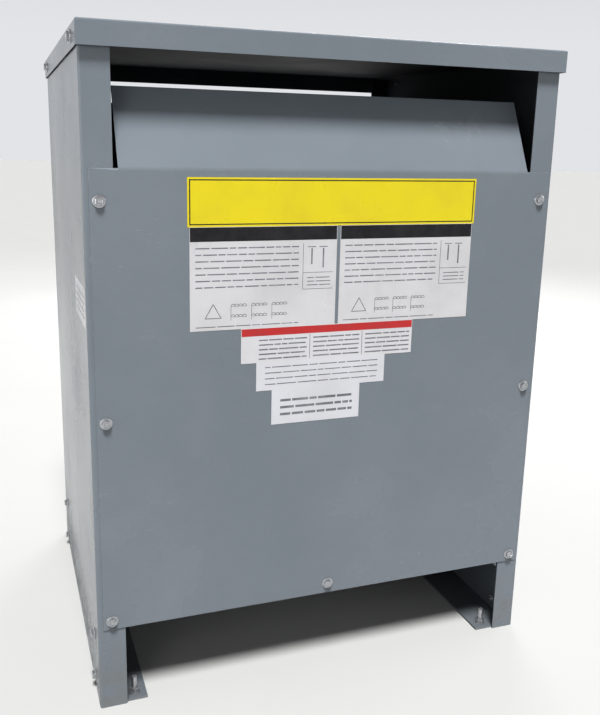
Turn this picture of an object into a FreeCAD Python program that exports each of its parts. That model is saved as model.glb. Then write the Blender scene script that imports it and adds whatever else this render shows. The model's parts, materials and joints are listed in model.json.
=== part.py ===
import FreeCAD, Part
import os

import Sketcher

# A ventilated dry-type power transformer in a floor-standing sheet-metal enclosure.
# Frame: millimetres, +X to the right, +Y to the back, +Z up. The front faces -Y.
# The origin is on the floor, under the middle of the enclosure.

doc = FreeCAD.newDocument("transformer")
sizes = doc.addObject("Spreadsheet::Sheet", "Sizes")

DRIVING_SIZES = {
    # lid: a shallow pan turned upside down, which sets the overall size
    "overall_height": 1092,
    "lid_width": 813,
    "lid_depth": 686,
    "lid_lip": 36,
    "lid_sheet": 2,
    "lid_bend": 3,
    "lid_front_overhang": 10,
    "lid_side_clearance": 1,
    "corner_seam": 3,
    "lid_screw_inset": 60,
    # side panels: one bent sheet each, whose flanges form the corner posts
    "panel_sheet": 2.5,
    "post_width": 45,
    "post_bend": 4,
    "top_flange": 30,
    # covers, front and back, each with a deflector tab bent inwards above it
    "cover_sheet": 2,
    "cover_margin": 9,
    "cover_bottom": 145,
    "vent_height": 167,
    "tab_rise": 119,
    "tab_setback": 57,
    "tab_side_gap": 7,
    "screw_edge": 14.5,
    "screw_top_drop": 47,
    "screw_bottom_rise": 15,
    "sill_screw_rise": 19,
    # feet: an angle bolted inside each side panel
    "foot_width": 80,
    "foot_leg": 125,
    "foot_sheet": 4,
    "foot_end_gap": 2,
    "foot_bolt_inset": 60,
    "foot_bolt_low": 25,
    "foot_bolt_high": 105,
    # hold-down studs through the feet
    "stud_radius": 4.75,
    "stud_shank_radius": 5,
    "stud_height": 34,
    "stud_side_inset": 60,
    "stud_end_inset": 22,
    "nut_flats": 14.3,
    "nut_height": 8.3,
    "washer_radius": 10,
    "washer_thickness": 1.6,
    # hexagon washer-head screws
    "screw_radius": 3.1,
    "screw_hole_radius": 3.4,
    "screw_length": 14,
    "head_flats": 12.7,
    "head_height": 5,
    "head_flange_radius": 10.2,
    "head_flange_thickness": 1.7,
    "stud_clearance": 0.6,
    # sills behind the lower edges of the covers
    "sill_leg": 30,
    "sill_sheet": 2.5,
    "sill_edge_rise": 3,
    # frame that carries the core
    "rail_inset": 40,
    "rail_depth": 50,
    "rail_height": 60,
    "rail_sheet": 4,
    "bearer_spacing": 420,
    "bearer_width": 60,
    "bearer_height": 40,
    "bearer_wall": 3,
    "pad_thickness": 12,
    # core, clamps and coils
    "leg_width": 110,
    "leg_height": 380,
    "yoke_height": 110,
    "core_stack": 130,
    "yoke_lift": 5,
    "clamp_height": 80,
    "clamp_flange": 45,
    "clamp_sheet": 6,
    "clamp_overhang": 35,
    "coil_side_clearance": 49,
    "coil_gap": 16,
    "coil_depth": 250,
    "coil_end_gap": 8,
    "coil_duct": 6,
    "coil_corner": 38,
    "block_width": 60,
    "block_depth": 30,
    "block_inset": 4,
    "tie_radius": 6,
    "tie_head_height": 7.8,
    "tie_head_flats": 18,
    "tie_overhang": 18,
    # plates and stickers
    "label_thickness": 0.4,
    "title_width": 500,
    "title_height": 75,
    "title_drop": 12,
    "data_width": 244,
    "data_height": 163,
    "data_gap": 6,
    "strip_width": 306,
    "strip_height": 58,
    "strip_shift": -11,
    "note_width": 230,
    "note_height": 48,
    "note_shift": -23,
    "slip_width": 158,
    "slip_height": 60,
    "slip_shift": -32,
    "side_label_width": 150,
    "side_label_height": 60,
    "side_label_inset": 14,
    "side_label_low": 648,
}


class Size:
    """A length that knows its number and the sheet expression that drives it."""

    def __init__(self, value, text):
        self.value = value
        self.text = text

    @staticmethod
    def of(thing):
        if isinstance(thing, Size):
            return thing
        return Size(thing, repr(thing))

    def joined(self, sign, other, value):
        return Size(value, "(" + self.text + " " + sign + " " + other.text + ")")

    def __add__(self, thing):
        other = Size.of(thing)
        return self.joined("+", other, self.value + other.value)

    def __sub__(self, thing):
        other = Size.of(thing)
        return self.joined("-", other, self.value - other.value)

    def __mul__(self, thing):
        other = Size.of(thing)
        return self.joined("*", other, self.value * other.value)

    def __truediv__(self, thing):
        other = Size.of(thing)
        return self.joined("/", other, self.value / other.value)

    def __neg__(self):
        return Size(-self.value, "(-1 * " + self.text + ")")


def hypotenuse(a, b):
    """The long side of a right triangle, as a Size."""
    value = (a.value ** 2 + b.value ** 2) ** 0.5
    return Size(value, "sqrt(" + a.text + "^2 + " + b.text + "^2)")


def driving_size(row, alias, value):
    """Write one driving size into the sheet and return it as a Size."""
    sizes.set("A" + str(row), alias)
    sizes.set("B" + str(row), str(value))
    sizes.setAlias("B" + str(row), alias)
    return Size(value, "Sizes." + alias)


class Sizes:
    pass


S = Sizes()
for number, (name, amount) in enumerate(DRIVING_SIZES.items(), start=1):
    setattr(S, name, driving_size(number, name, amount))
doc.recompute()

# Sizes that follow from the driving ones
PITCHES_TO_OUTER_FACE = 1.5  # from the middle leg to the outer face of an outer coil, less half a gap
half_width = S.lid_width / 2 - S.lid_sheet - S.lid_side_clearance
half_depth = S.lid_depth / 2 - S.lid_front_overhang
panel_top = S.overall_height - S.lid_sheet
tab_half_width = half_width - S.post_width - S.tab_side_gap
cover_half_width = half_width - S.cover_margin
cover_top = S.overall_height - S.lid_lip - S.vent_height
cover_screw_x = cover_half_width - S.screw_edge
cover_screw_top = cover_top - S.screw_top_drop
cover_screw_low = S.cover_bottom + S.screw_bottom_rise
cover_screw_heights = [cover_screw_top, (cover_screw_top + cover_screw_low) / 2, cover_screw_low]
sill_screw_z = S.cover_bottom + S.sill_screw_rise
lid_screw_y = half_depth - S.lid_screw_inset
lid_screw_z = S.overall_height - S.lid_lip / 2
foot_bolt_y = half_depth - S.foot_bolt_inset
foot_bolt_heights = [S.foot_bolt_low, S.foot_bolt_high]
stud_x = half_width - S.stud_side_inset
stud_y = half_depth - S.stud_end_inset
stud_hole_radius = S.stud_shank_radius + S.stud_clearance
inner_half_width = half_width - S.panel_sheet
inner_half_depth = half_depth - S.panel_sheet
outer_coil_face = inner_half_width - S.coil_side_clearance
leg_pitch = (outer_coil_face + S.coil_gap / 2) / PITCHES_TO_OUTER_FACE
coil_width = leg_pitch - S.coil_gap
rail_top = S.foot_leg + S.rail_height
bearer_top = rail_top + S.bearer_height
clamp_low = bearer_top + S.pad_thickness
yoke_low = clamp_low + S.yoke_lift
window_low = yoke_low + S.yoke_height
window_high = window_low + S.leg_height
yoke_top = window_high + S.yoke_height
clamp_high = yoke_top - S.yoke_lift
core_half_width = leg_pitch + S.leg_width / 2
clamp_half_width = core_half_width + S.clamp_overhang
tie_x = core_half_width + S.tie_overhang
block_y = S.core_stack / 2 + S.clamp_sheet + S.block_inset + S.block_depth / 2

SIDES = {"left": -1, "right": 1}
FACES = {"front": -1, "back": 1}
COLUMNS = {"left": -1, "middle": 0, "right": 1}
AXES = {
    "+X": FreeCAD.Rotation(FreeCAD.Vector(0, 1, 0), 90),
    "-X": FreeCAD.Rotation(FreeCAD.Vector(0, 1, 0), -90),
    "+Y": FreeCAD.Rotation(FreeCAD.Vector(1, 0, 0), -90),
    "-Y": FreeCAD.Rotation(FreeCAD.Vector(1, 0, 0), 90),
    "+Z": FreeCAD.Rotation(),
}
HEXAGON_CORNER_RATIO = 0.57735  # corner radius over the distance across flats
SAME_PLACE = 1e-6  # millimetres; what lies closer is taken as in one place
nodes = []


def bind(thing, prop, size):
    """Drive one property with a Size."""
    thing.setExpression(prop, Size.of(size).text)


def keep(thing, label):
    """Register an object as a sub-part of the transformer."""
    thing.Label = label
    nodes.append(thing)
    return thing


def new_body(label):
    body = doc.addObject("PartDesign::Body", label + "_body")
    return keep(body, label)


def new_sketch(body, plane, name):
    sketch = body.newObject("Sketcher::SketchObject", name)
    origin_plane = next(item for item in body.Origin.OriginFeatures if item.Role == plane)
    sketch.AttachmentSupport = [(origin_plane, "")]
    sketch.MapMode = "FlatFace"
    return sketch


def fix_point(sketch, geometry, vertex, x, y):
    """Hold one sketch point at a driven place."""
    for kind, size in (("DistanceX", x), ("DistanceY", y)):
        index = sketch.addConstraint(Sketcher.Constraint(kind, geometry, vertex, size.value))
        sketch.setExpression("Constraints[" + str(index) + "]", size.text)


def add_outline(sketch, corners):
    """Add a closed outline of straight lines; each corner is a pair of Sizes."""
    points = [(Size.of(x), Size.of(y)) for x, y in corners]
    first = None
    previous = None
    for start, end in zip(points, points[1:] + points[:1]):
        line = Part.LineSegment(
            FreeCAD.Vector(start[0].value, start[1].value, 0),
            FreeCAD.Vector(end[0].value, end[1].value, 0),
        )
        index = sketch.addGeometry(line, False)
        if previous is None:
            first = index
        else:
            sketch.addConstraint(Sketcher.Constraint("Coincident", previous, 2, index, 1))
        fix_point(sketch, index, 1, *start)
        previous = index
    sketch.addConstraint(Sketcher.Constraint("Coincident", previous, 2, first, 1))


def add_rectangle(sketch, low_x, low_y, high_x, high_y):
    add_outline(sketch, [(low_x, low_y), (high_x, low_y), (high_x, high_y), (low_x, high_y)])


def add_circle(sketch, x, y, radius):
    x, y = Size.of(x), Size.of(y)
    circle = Part.Circle(
        FreeCAD.Vector(x.value, y.value, 0), FreeCAD.Vector(0, 0, 1), radius.value
    )
    index = sketch.addGeometry(circle, False)
    constraint = sketch.addConstraint(Sketcher.Constraint("Radius", index, radius.value))
    sketch.setExpression("Constraints[" + str(constraint) + "]", radius.text)
    fix_point(sketch, index, 3, x, y)


def raise_sketch(sketch, height):
    """Move a sketch along its plane's normal."""
    bind(sketch, "AttachmentOffset.Base.z", height)


def pad(body, sketch, length, both_ways=False):
    """Thicken a sketch; both_ways spreads the length evenly about its plane."""
    feature = body.newObject("PartDesign::Pad", sketch.Name + "_pad")
    feature.Profile = sketch
    bind(feature, "Length", length)
    if both_ways:
        feature.SideType = "Symmetric"
    doc.recompute()
    return feature


def pocket_through(body, sketch):
    """Cut a sketch right through the body, and make sure that it removes something."""
    before = body.Shape.Volume
    feature = body.newObject("PartDesign::Pocket", sketch.Name + "_pocket")
    feature.Profile = sketch
    feature.Type = "ThroughAll"
    feature.SideType = "Symmetric"
    doc.recompute()
    if not body.Shape.Volume < before:
        raise RuntimeError(sketch.Name + " cuts nothing")
    return feature


def pocket_up(body, sketch, depth):
    """Cut upwards from a sketch, and make sure that it removes something."""
    before = body.Shape.Volume
    feature = body.newObject("PartDesign::Pocket", sketch.Name + "_pocket")
    feature.Profile = sketch
    feature.Type = "Length"
    feature.Reversed = True
    bind(feature, "Length", depth)
    doc.recompute()
    if not body.Shape.Volume < before:
        raise RuntimeError(sketch.Name + " cuts nothing")
    return feature


def round_edges(body, feature, radius, chosen):
    """Round those edges of a feature for which chosen(edge) is true."""
    names = [
        "Edge" + str(number)
        for number, edge in enumerate(feature.Shape.Edges, start=1)
        if chosen(edge)
    ]
    rounding = body.newObject("PartDesign::Fillet", feature.Name + "_round")
    rounding.Base = (feature, names)
    bind(rounding, "Radius", radius)
    doc.recompute()
    return rounding


def runs_along(edge, axis):
    """Whether a straight edge is parallel to a unit vector."""
    ends = [vertex.Point for vertex in edge.Vertexes]
    if len(ends) != 2:
        return False
    direction = (ends[1] - ends[0]).normalize()
    return abs(abs(direction.dot(axis)) - 1) < SAME_PLACE


def put(thing, x, y, z, axis="+Z"):
    """Place a primitive with its own Z axis along the given direction."""
    thing.Placement = FreeCAD.Placement(FreeCAD.Vector(), AXES[axis])
    for prop, size in (("x", x), ("y", y), ("z", z)):
        bind(thing, "Placement.Base." + prop, size)
    return thing


def block(label, low, high):
    """A rectangular block between two corners."""
    thing = doc.addObject("Part::Box", label)
    for prop, start, end in zip(("Length", "Width", "Height"), low, high):
        bind(thing, prop, Size.of(end) - start)
    return put(thing, *low)


def cylinder(name, radius, height, place, axis):
    thing = doc.addObject("Part::Cylinder", name)
    bind(thing, "Radius", radius)
    bind(thing, "Height", height)
    return put(thing, *place, axis)


def hexagon(name, flats, height, place, axis):
    thing = doc.addObject("Part::Prism", name)
    thing.Polygon = 6
    bind(thing, "Circumradius", flats * HEXAGON_CORNER_RATIO)
    bind(thing, "Height", height)
    return put(thing, *place, axis)


def fused(name, pieces):
    thing = doc.addObject("Part::MultiFuse", name)
    thing.Shapes = pieces
    return thing


def grouped(label, pieces):
    """Like pieces that don't touch, kept as one node."""
    thing = doc.addObject("Part::Compound", label + "_group")
    thing.Links = pieces
    return keep(thing, label)


def shifted(place, axis, distance):
    """A place moved by a distance along a named direction."""
    sign = 1 if axis[0] == "+" else -1
    step = distance * sign
    return tuple(
        Size.of(value) + step if letter == axis[1] else Size.of(value)
        for letter, value in zip("XYZ", place)
    )


def washer_head_screw(name, seat, outward, length):
    """A hexagon washer-head screw: seat is where its head meets the sheet."""
    inward = ("-" if outward[0] == "+" else "+") + outward[1]
    flange = cylinder(
        name + "_flange", S.head_flange_radius, S.head_flange_thickness, seat, outward
    )
    head = hexagon(
        name + "_head",
        S.head_flats,
        S.head_height,
        shifted(seat, outward, S.head_flange_thickness),
        outward,
    )
    shank = cylinder(name + "_shank", S.screw_radius, length, seat, inward)
    return fused(name, [flange, head, shank])


# ---------------------------------------------------------------- enclosure


def lid():
    """An upside-down pan with rounded top edges and open seams at its corners."""
    body = new_body("lid")
    outer = new_sketch(body, "XY_Plane", "lid_outer")
    add_rectangle(outer, -S.lid_width / 2, -S.lid_depth / 2, S.lid_width / 2, S.lid_depth / 2)
    raise_sketch(outer, S.overall_height - S.lid_lip)
    slab = pad(body, outer, S.lid_lip)
    top = slab.Shape.BoundBox.ZMax
    round_edges(
        body,
        slab,
        S.lid_bend,
        lambda edge: abs(edge.BoundBox.ZMin - top) < SAME_PLACE,
    )
    inner = new_sketch(body, "XY_Plane", "lid_inner")
    inner_x = S.lid_width / 2 - S.lid_sheet
    inner_y = S.lid_depth / 2 - S.lid_sheet
    add_rectangle(inner, -inner_x, -inner_y, inner_x, inner_y)
    raise_sketch(inner, S.overall_height - S.lid_lip)
    pocket_up(body, inner, S.lid_lip - S.lid_sheet)
    seams = new_sketch(body, "XY_Plane", "lid_seams")
    seam_x = [inner_x - S.lid_sheet, S.lid_width / 2 + S.lid_sheet]
    seam_y = [inner_y - S.corner_seam, inner_y]
    for side in SIDES.values():
        for face in FACES.values():
            add_rectangle(
                seams, seam_x[0] * side, seam_y[0] * face, seam_x[1] * side, seam_y[1] * face
            )
    raise_sketch(seams, S.overall_height - S.lid_lip)
    pocket_up(body, seams, S.lid_lip - S.lid_sheet)
    holes = new_sketch(body, "YZ_Plane", "lid_holes")
    for face in FACES.values():
        add_circle(holes, lid_screw_y * face, lid_screw_z, S.screw_hole_radius)
    pocket_through(body, holes)


def side_panel(word, side):
    """One sheet bent into a web, two posts and a top flange."""
    body = new_body(word + "_side_panel")
    web = half_width * side
    inner = inner_half_width * side
    post = (half_width - S.post_width) * side
    profile = new_sketch(body, "XY_Plane", word + "_panel_profile")
    corners = [
        (web, -half_depth),
        (web, half_depth),
        (post, half_depth),
        (post, inner_half_depth),
        (inner, inner_half_depth),
        (inner, -inner_half_depth),
        (post, -inner_half_depth),
        (post, -half_depth),
    ]
    add_outline(profile, corners)
    sheet = pad(body, profile, panel_top)
    web_x = web.value
    up = FreeCAD.Vector(0, 0, 1)
    outside = round_edges(
        body,
        sheet,
        S.post_bend,
        lambda edge: runs_along(edge, up) and abs(edge.Vertexes[0].X - web_x) < SAME_PLACE,
    )
    inner_x = inner.value
    round_edges(
        body,
        outside,
        S.post_bend - S.panel_sheet,
        lambda edge: runs_along(edge, up) and abs(edge.Vertexes[0].X - inner_x) < SAME_PLACE,
    )
    flange = new_sketch(body, "XY_Plane", word + "_panel_top_flange")
    flange_x = (half_width - S.top_flange) * side
    middle = (half_width - S.panel_sheet / 2) * side
    edge_y = half_depth - S.panel_sheet / 2
    add_rectangle(flange, flange_x, -edge_y, middle, edge_y)
    raise_sketch(flange, panel_top - S.panel_sheet)
    pad(body, flange, S.panel_sheet)
    cover_holes = new_sketch(body, "XZ_Plane", word + "_panel_cover_holes")
    for height in cover_screw_heights:
        add_circle(cover_holes, cover_screw_x * side, height, S.screw_hole_radius)
    pocket_through(body, cover_holes)
    web_holes = new_sketch(body, "YZ_Plane", word + "_panel_web_holes")
    for face in FACES.values():
        add_circle(web_holes, lid_screw_y * face, lid_screw_z, S.screw_hole_radius)
        for height in foot_bolt_heights:
            add_circle(web_holes, foot_bolt_y * face, height, S.screw_hole_radius)
    pocket_through(body, web_holes)


def foot_angle(word, side):
    """A floor angle along the bottom of a side panel."""
    body = new_body(word + "_foot_angle")
    back = inner_half_width * side
    front = (inner_half_width - S.foot_sheet) * side
    tip = (half_width - S.foot_width) * side
    profile = new_sketch(body, "XZ_Plane", word + "_foot_profile")
    corners = [
        (back, 0),
        (tip, 0),
        (tip, S.foot_sheet),
        (front, S.foot_sheet),
        (front, S.foot_leg),
        (back, S.foot_leg),
    ]
    add_outline(profile, corners)
    pad(body, profile, (inner_half_depth - S.foot_end_gap) * 2, both_ways=True)
    stud_holes = new_sketch(body, "XY_Plane", word + "_foot_stud_holes")
    for face in FACES.values():
        add_circle(stud_holes, stud_x * side, stud_y * face, stud_hole_radius)
    pocket_through(body, stud_holes)
    bolt_holes = new_sketch(body, "YZ_Plane", word + "_foot_bolt_holes")
    for face in FACES.values():
        for height in foot_bolt_heights:
            add_circle(bolt_holes, foot_bolt_y * face, height, S.screw_hole_radius)
    pocket_through(body, bolt_holes)


def cover(word, face):
    """A flat cover over the posts, with a deflector tab bent inwards above it."""
    body = new_body(word + "_cover")
    outer_y = (half_depth + S.cover_sheet) * face
    inner_y = half_depth * face
    plate = new_sketch(body, "YZ_Plane", word + "_cover_plate")
    add_rectangle(plate, inner_y, S.cover_bottom, outer_y, cover_top)
    pad(body, plate, cover_half_width * 2, both_ways=True)
    tab = new_sketch(body, "YZ_Plane", word + "_cover_tab")
    slope = hypotenuse(S.tab_rise, S.tab_setback)
    level_thickness = S.cover_sheet * slope / S.tab_rise
    tab_top = cover_top + S.tab_rise
    back_y = (half_depth + S.cover_sheet - level_thickness) * face
    setback = S.tab_setback * face
    corners = [
        (outer_y, cover_top),
        (outer_y - setback, tab_top),
        (back_y - setback, tab_top),
        (back_y, cover_top),
        (back_y, cover_top - S.cover_sheet),
        (outer_y, cover_top - S.cover_sheet),
    ]
    add_outline(tab, corners)
    pad(body, tab, tab_half_width * 2, both_ways=True)
    holes = new_sketch(body, "XZ_Plane", word + "_cover_holes")
    for side in SIDES.values():
        for height in cover_screw_heights:
            add_circle(holes, cover_screw_x * side, height, S.screw_hole_radius)
    add_circle(holes, 0, sill_screw_z, S.screw_hole_radius)
    pocket_through(body, holes)


def sill(word, face):
    """An angle behind the lower edge of a cover, held by the cover's lowest screws."""
    body = new_body(word + "_sill")
    outer_y = inner_half_depth * face
    inner_y = (inner_half_depth - S.sill_sheet) * face
    tip_y = (inner_half_depth - S.sill_leg) * face
    low = S.cover_bottom + S.sill_edge_rise
    profile = new_sketch(body, "YZ_Plane", word + "_sill_profile")
    corners = [
        (outer_y, low),
        (outer_y, low + S.sill_leg),
        (tip_y, low + S.sill_leg),
        (tip_y, low + S.sill_leg - S.sill_sheet),
        (inner_y, low + S.sill_leg - S.sill_sheet),
        (inner_y, low),
    ]
    add_outline(profile, corners)
    half_length = inner_half_width - S.post_bend
    pad(body, profile, half_length * 2, both_ways=True)
    holes = new_sketch(body, "XZ_Plane", word + "_sill_holes")
    for side in SIDES.values():
        add_circle(holes, cover_screw_x * side, cover_screw_low, S.screw_hole_radius)
    add_circle(holes, 0, sill_screw_z, S.screw_hole_radius)
    pocket_through(body, holes)


def cover_screws(word, face):
    outward = "-Y" if face < 0 else "+Y"
    seat_y = (half_depth + S.cover_sheet) * face
    places = [(0, sill_screw_z)]
    places += [(cover_screw_x * side, z) for side in SIDES.values() for z in cover_screw_heights]
    screws = [
        washer_head_screw(
            word + "_cover_screw_" + str(number), (x, seat_y, z), outward, S.screw_length
        )
        for number, (x, z) in enumerate(places, start=1)
    ]
    grouped(word + "_cover_screws", screws)


def lid_screws():
    screws = []
    for word, side in SIDES.items():
        outward = "-X" if side < 0 else "+X"
        for end, face in FACES.items():
            seat = (S.lid_width / 2 * side, lid_screw_y * face, lid_screw_z)
            name = "lid_screw_" + word + "_" + end
            screws.append(washer_head_screw(name, seat, outward, S.screw_length))
    grouped("lid_screws", screws)


def foot_bolts(word, side):
    """Bolts through a side panel and its foot angle, each with its nut inside."""
    outward = "-X" if side < 0 else "+X"
    inward = "+X" if side < 0 else "-X"
    bolts = []
    for end, face in FACES.items():
        for height in foot_bolt_heights:
            name = word + "_foot_bolt_" + end + "_" + str(len(bolts))
            seat = (half_width * side, foot_bolt_y * face, height)
            screw = washer_head_screw(name + "_screw", seat, outward, S.screw_length)
            nut_seat = shifted(seat, inward, S.panel_sheet + S.foot_sheet)
            nut = hexagon(name + "_nut", S.head_flats, S.head_height, nut_seat, inward)
            bolts.append(fused(name, [screw, nut]))
    grouped(word + "_foot_bolts", bolts)


def hold_down_studs():
    """Studs that rise from the floor through the feet, each with its washer and nut."""
    studs = []
    for word, side in SIDES.items():
        for end, face in FACES.items():
            name = "foot_stud_" + word + "_" + end
            base = (stud_x * side, stud_y * face, 0)
            shank = cylinder(name + "_shank", S.stud_shank_radius, S.foot_sheet, base, "+Z")
            seat = shifted(base, "+Z", S.foot_sheet)
            washer = cylinder(name + "_washer", S.washer_radius, S.washer_thickness, seat, "+Z")
            top = shifted(seat, "+Z", S.washer_thickness)
            nut = hexagon(name + "_nut", S.nut_flats, S.nut_height, top, "+Z")
            thread = cylinder(
                name + "_thread", S.stud_radius, S.stud_height - S.foot_sheet, seat, "+Z"
            )
            studs.append(fused(name, [shank, washer, nut, thread]))
    grouped("foot_studs", studs)


# ---------------------------------------------------------------- core frame


def cross_rail(word, face):
    """A channel between the side panels, standing on the foot angles."""
    body = new_body(word + "_cross_rail")
    outer_y = (half_depth - S.rail_inset) * face
    inner_y = (half_depth - S.rail_inset - S.rail_depth) * face
    web_y = (half_depth - S.rail_inset - S.rail_sheet) * face
    profile = new_sketch(body, "YZ_Plane", word + "_rail_profile")
    corners = [
        (outer_y, S.foot_leg),
        (inner_y, S.foot_leg),
        (inner_y, S.foot_leg + S.rail_sheet),
        (web_y, S.foot_leg + S.rail_sheet),
        (web_y, rail_top - S.rail_sheet),
        (inner_y, rail_top - S.rail_sheet),
        (inner_y, rail_top),
        (outer_y, rail_top),
    ]
    add_outline(profile, corners)
    pad(body, profile, inner_half_width * 2, both_ways=True)


def bearer(word, side):
    """A square tube from one cross rail to the other."""
    body = new_body(word + "_core_bearer")
    near = (S.bearer_spacing - S.bearer_width) / 2 * side
    far = (S.bearer_spacing + S.bearer_width) / 2 * side
    wall = S.bearer_wall * side
    profile = new_sketch(body, "XZ_Plane", word + "_bearer_profile")
    add_rectangle(profile, near, rail_top, far, bearer_top)
    add_rectangle(
        profile, near + wall, rail_top + S.bearer_wall, far - wall, bearer_top - S.bearer_wall
    )
    pad(body, profile, (half_depth - S.rail_inset) * 2, both_ways=True)


def isolation_pads():
    """Rubber pads between the bearers and the lower clamps."""
    pads = []
    for word, side in SIDES.items():
        near = (S.bearer_spacing - S.bearer_width) / 2 * side
        far = (S.bearer_spacing + S.bearer_width) / 2 * side
        low_x, high_x = (far, near) if side < 0 else (near, far)
        for end, face in FACES.items():
            inner = S.core_stack / 2 * face
            outer = (S.core_stack / 2 + S.clamp_flange) * face
            low_y, high_y = (outer, inner) if face < 0 else (inner, outer)
            pads.append(
                block(
                    "pad_" + word + "_" + end,
                    (low_x, low_y, bearer_top),
                    (high_x, high_y, clamp_low),
                )
            )
    grouped("isolation_pads", pads)


def clamp(word, face, level, low):
    """A channel that squeezes a yoke from the front or the back."""
    body = new_body(word + "_" + level + "_clamp")
    web_y = S.core_stack / 2 * face
    inner_y = (S.core_stack / 2 + S.clamp_sheet) * face
    tip_y = (S.core_stack / 2 + S.clamp_flange) * face
    high = low + S.clamp_height
    profile = new_sketch(body, "YZ_Plane", word + "_" + level + "_clamp_profile")
    corners = [
        (web_y, low),
        (tip_y, low),
        (tip_y, low + S.clamp_sheet),
        (inner_y, low + S.clamp_sheet),
        (inner_y, high - S.clamp_sheet),
        (tip_y, high - S.clamp_sheet),
        (tip_y, high),
        (web_y, high),
    ]
    add_outline(profile, corners)
    pad(body, profile, clamp_half_width * 2, both_ways=True)
    holes = new_sketch(body, "XZ_Plane", word + "_" + level + "_clamp_holes")
    for side in SIDES.values():
        add_circle(holes, tie_x * side, low + S.clamp_height / 2, S.tie_radius + S.stud_clearance)
    pocket_through(body, holes)


def tie_bolts(level, low):
    """Bolts past the ends of a yoke, from one clamp to the other."""
    height = low + S.clamp_height / 2
    reach = S.core_stack / 2 + S.clamp_sheet
    head = S.tie_head_height
    bolts = []
    for word, side in SIDES.items():
        name = level + "_tie_" + word
        start = (tie_x * side, -reach - head, height)
        rod = cylinder(name + "_rod", S.tie_radius, (reach + head) * 2, start, "+Y")
        front = hexagon(name + "_head", S.tie_head_flats, head, start, "+Y")
        nut_seat = (tie_x * side, reach, height)
        nut = hexagon(name + "_nut", S.tie_head_flats, head, nut_seat, "+Y")
        bolts.append(fused(name, [rod, front, nut]))
    grouped(level + "_tie_bolts", bolts)


def core():
    """Yokes and legs of stacked steel."""
    half_stack = S.core_stack / 2
    for level, low, high in (
        ("lower", yoke_low, window_low),
        ("upper", window_high, yoke_top),
    ):
        label = level + "_yoke"
        low_corner = (-core_half_width, -half_stack, low)
        high_corner = (core_half_width, half_stack, high)
        keep(block(label, low_corner, high_corner), label)
    for word, place in COLUMNS.items():
        label = word + "_core_leg"
        middle = leg_pitch * place
        low_corner = (middle - S.leg_width / 2, -half_stack, window_low)
        high_corner = (middle + S.leg_width / 2, half_stack, window_high)
        keep(block(label, low_corner, high_corner), label)


def coil(word, place):
    """A winding: a rounded tube around one leg of the core."""
    body = new_body(word + "_coil")
    middle = leg_pitch * place
    half_x = coil_width / 2
    half_y = S.coil_depth / 2
    bore_x = S.leg_width / 2 + S.coil_duct
    bore_y = S.core_stack / 2 + S.coil_duct
    outer = new_sketch(body, "XY_Plane", word + "_coil_outer")
    add_rectangle(outer, middle - half_x, -half_y, middle + half_x, half_y)
    raise_sketch(outer, window_low + S.coil_end_gap)
    winding = pad(body, outer, S.leg_height - S.coil_end_gap * 2)
    up = FreeCAD.Vector(0, 0, 1)
    round_edges(body, winding, S.coil_corner, lambda edge: runs_along(edge, up))
    bore = new_sketch(body, "XY_Plane", word + "_coil_bore")
    add_rectangle(bore, middle - bore_x, -bore_y, middle + bore_x, bore_y)
    pocket_through(body, bore)


def coil_blocks():
    """Insulating blocks that carry the coils on the lower clamps."""
    blocks = []
    top = window_low + S.coil_end_gap
    for word, place in COLUMNS.items():
        middle = leg_pitch * place
        for end, face in FACES.items():
            low = (
                middle - S.block_width / 2,
                block_y * face - S.block_depth / 2,
                clamp_low + S.clamp_height,
            )
            high = (middle + S.block_width / 2, block_y * face + S.block_depth / 2, top)
            blocks.append(block("coil_block_" + word + "_" + end, low, high))
    grouped("coil_blocks", blocks)


# ---------------------------------------------------------------- plates


def front_label(label, middle_x, high_z, width, height):
    """A thin plate on the face of the front cover."""
    face_y = -half_depth - S.cover_sheet
    low = (middle_x - width / 2, face_y - S.label_thickness, high_z - height)
    high = (middle_x + width / 2, face_y, high_z)
    keep(block(label, low, high), label)


def labels():
    title_top = cover_top - S.title_drop
    data_top = title_top - S.title_height
    strip_top = data_top - S.data_height
    note_top = strip_top - S.strip_height
    slip_top = note_top - S.note_height
    data_x = (S.data_width + S.data_gap) / 2
    front_label("title_plate", Size.of(0), title_top, S.title_width, S.title_height)
    for word, side in SIDES.items():
        front_label(
            word + "_data_plate", data_x * side, data_top, S.data_width, S.data_height
        )
    front_label("strip_label", S.strip_shift, strip_top, S.strip_width, S.strip_height)
    front_label("note_label", S.note_shift, note_top, S.note_width, S.note_height)
    front_label("slip_label", S.slip_shift, slip_top, S.slip_width, S.slip_height)
    near = -half_depth + S.side_label_inset
    low = (-half_width - S.label_thickness, near, S.side_label_low)
    high = (-half_width, near + S.side_label_width, S.side_label_low + S.side_label_height)
    keep(block("side_label", low, high), "side_label")



lid()
for word, side in SIDES.items():
    side_panel(word, side)
    foot_angle(word, side)
    foot_bolts(word, side)
    bearer(word, side)
for word, face in FACES.items():
    cover(word, face)
    sill(word, face)
    cover_screws(word, face)
    cross_rail(word, face)
    clamp(word, face, "lower", clamp_low)
    clamp(word, face, "upper", clamp_high - S.clamp_height)
lid_screws()
hold_down_studs()
isolation_pads()
tie_bolts("lower", clamp_low)
tie_bolts("upper", clamp_high - S.clamp_height)
core()
for word, place in COLUMNS.items():
    coil(word, place)
coil_blocks()
labels()
doc.recompute()

for thing in doc.Objects:
    if "Invalid" in thing.State or "Error" in thing.State:
        raise RuntimeError(thing.Name + " failed to recompute")
os.makedirs("parts", exist_ok=True)
for node in nodes:
    if node.Shape.isNull() or not node.Shape.isValid():
        raise RuntimeError(node.Label + " has no valid shape")
    node.Shape.exportStep("parts/" + node.Label + ".step")
print("wrote", len(nodes), "nodes")
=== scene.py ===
"""Looks of the floor-standing dry-type transformer: finishes, sheets, fasteners, prints, light."""

import math
import random

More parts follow.
